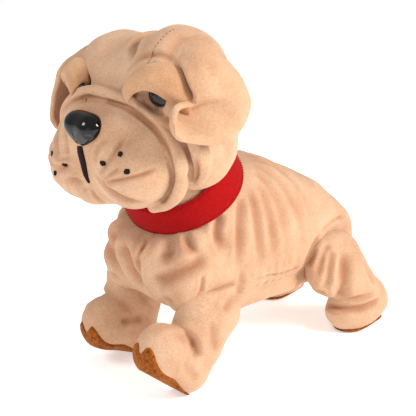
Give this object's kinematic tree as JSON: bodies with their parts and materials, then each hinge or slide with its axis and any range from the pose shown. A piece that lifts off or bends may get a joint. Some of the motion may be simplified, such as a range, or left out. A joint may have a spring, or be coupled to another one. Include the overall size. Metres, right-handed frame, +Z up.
{
  "type": "interactive plush puppy",
  "caption": "Walking plush puppy with a folded muzzle, hanging ears, felt collar and paw pads over a geared plastic chassis.",
  "frame": {"origin": "on the ground under the middle of the bounding box", "axes": "+Z up, -Y the way the nose points, +X the puppy's left"},
  "size_m": [0.1492, 0.258, 0.251],
  "materials": {
    "plush": "short velour pile",
    "felt": "matt felt",
    "pad_cloth": "short brushed pile",
    "gloss_black": "high gloss",
    "stuffing": "loose polyester fibre",
    "case_plastic": "moulded, fine texture",
    "gear_plastic": "moulded, smooth",
    "steel": "plated",
    "brass": "turned",
    "board": "coated circuit board",
    "dark_plastic": "moulded",
    "cell_sleeve": "printed sleeve, plain colour"
  },
  "bodies": {
    "torso": {"torso_plush": "plush", "collar": "felt", "chassis_left_shell": "case_plastic", "chassis_right_shell": "case_plastic", "gearbox_inner_plate": "case_plastic", "gearbox_outer_plate": "case_plastic", "battery_tray": "case_plastic", "neck_column": "case_plastic", "chassis_screw_front": "steel", "chassis_screw_rear": "steel", "motor": "steel", "battery_contact_front": "steel", "battery_contact_rear": "steel", "neck_pivot_pin": "steel", "front_hip_pin_left": "steel", "front_hip_pin_right": "steel", "rear_hip_pin_left": "steel", "rear_hip_pin_right": "steel", "circuit_board": "board", "speaker": "dark_plastic", "power_switch_housing": "dark_plastic", "battery_1": "cell_sleeve", "battery_2": "cell_sleeve"},
    "left_front_leg": {"front_leg_core_left": "case_plastic", "front_leg_plush_left": "plush", "front_paw_pad_left": "pad_cloth"},
    "right_front_leg": {"front_leg_core_right": "case_plastic", "front_leg_plush_right": "plush", "front_paw_pad_right": "pad_cloth"},
    "left_rear_leg": {"rear_leg_core_left": "case_plastic", "rear_leg_plush_left": "plush", "rear_paw_pad_left": "pad_cloth"},
    "right_rear_leg": {"rear_leg_core_right": "case_plastic", "rear_leg_plush_right": "plush", "rear_paw_pad_right": "pad_cloth"},
    "left_link_rod": {"link_rod_left": "case_plastic"},
    "right_link_rod": {"link_rod_right": "case_plastic"},
    "motor_shaft": {"motor_pinion": "brass"},
    "first_gear": {"compound_gear_1": "gear_plastic"},
    "second_gear": {"compound_gear_2": "gear_plastic"},
    "crank": {"crank_gear": "gear_plastic", "crank_shaft": "steel"},
    "head": {"neck_socket": "case_plastic", "head_stuffing": "stuffing", "head_plush": "plush", "muzzle_plush": "plush", "nose": "gloss_black", "eye_left": "gloss_black", "eye_right": "gloss_black", "brow_fold_left": "plush", "brow_fold_right": "plush", "ear_left": "plush", "ear_right": "plush"},
    "tail": {"tail_core": "case_plastic", "tail_plush": "plush"},
    "power_switch": {"power_switch_slider": "dark_plastic"},
    "battery_cover": {"battery_door": "case_plastic", "battery_door_screw": "steel"}
  },
  "joints": [
    {"name": "left_front_leg_swing", "type": "hinge", "parent": "torso", "child": "left_front_leg", "pos_m": [0.031, -0.061, 0.068], "axis": [-1, 0, 0], "range_deg": [-20, 2]},
    {"name": "right_front_leg_swing", "type": "hinge", "parent": "torso", "child": "right_front_leg", "pos_m": [-0.031, -0.061, 0.068], "axis": [-1, 0, 0], "range_deg": [-2, 20]},
    {"name": "left_rear_leg_swing", "type": "hinge", "parent": "torso", "child": "left_rear_leg", "pos_m": [0.031, 0.083, 0.06], "axis": [-1, 0, 0], "range_deg": [-20, 2]},
    {"name": "right_rear_leg_swing", "type": "hinge", "parent": "torso", "child": "right_rear_leg", "pos_m": [-0.031, 0.083, 0.06], "axis": [-1, 0, 0], "range_deg": [-2, 20]},
    {"name": "left_link_rod_pivot", "type": "hinge", "parent": "left_front_leg", "child": "left_link_rod", "pos_m": [0.029, -0.05523, 0.07654], "axis": [-1, 0, 0], "range_deg": [-2, 20]},
    {"name": "right_link_rod_pivot", "type": "hinge", "parent": "right_front_leg", "child": "right_link_rod", "pos_m": [-0.029, -0.05815, 0.0779], "axis": [-1, 0, 0], "range_deg": [-20, 2]},
    {"name": "motor_spin", "type": "hinge", "parent": "torso", "child": "motor_shaft", "pos_m": [0.007, -0.01762, 0.07793], "axis": [1, 0, 0], "continuous": true},
    {"name": "first_gear_spin", "type": "hinge", "parent": "torso", "child": "first_gear", "pos_m": [0.01, -0.0289, 0.08204], "axis": [1, 0, 0], "continuous": true},
    {"name": "second_gear_spin", "type": "hinge", "parent": "torso", "child": "second_gear", "pos_m": [0.01, -0.04059, 0.08474], "axis": [1, 0, 0], "continuous": true},
    {"name": "crank_spin", "type": "hinge", "parent": "torso", "child": "crank", "pos_m": [0, -0.0525, 0.0862], "axis": [1, 0, 0], "continuous": true},
    {"name": "head_nod", "type": "hinge", "parent": "torso", "child": "head", "pos_m": [0, -0.044, 0.143], "axis": [1, 0, 0], "range_deg": [-8, 8]},
    {"name": "tail_wag", "type": "hinge", "parent": "torso", "child": "tail", "pos_m": [0, 0.097, 0.072], "axis": [0, 1, 0], "range_deg": [-12, 12]},
    {"name": "power_switch_slide", "type": "slide", "parent": "torso", "child": "power_switch", "axis": [1, 0, 0], "range_m": [-0.0015, 0.0015]},
    {"name": "battery_cover_removal", "type": "slide", "parent": "torso", "child": "battery_cover", "axis": [0, 0, -1], "range_m": [0, 0.03]}
  ],
  "couplings": [
    {"joint": "right_front_leg_swing", "follows": "left_front_leg_swing", "ratio": -1},
    {"joint": "left_rear_leg_swing", "follows": "left_front_leg_swing", "ratio": 1},
    {"joint": "right_rear_leg_swing", "follows": "left_front_leg_swing", "ratio": -1},
    {"joint": "left_link_rod_pivot", "follows": "left_front_leg_swing", "ratio": -1},
    {"joint": "right_link_rod_pivot", "follows": "left_front_leg_swing", "ratio": 1},
    {"joint": "first_gear_spin", "follows": "motor_spin", "ratio": -0.33333},
    {"joint": "second_gear_spin", "follows": "motor_spin", "ratio": 0.11111},
    {"joint": "crank_spin", "follows": "motor_spin", "ratio": -0.037037}
  ]
}
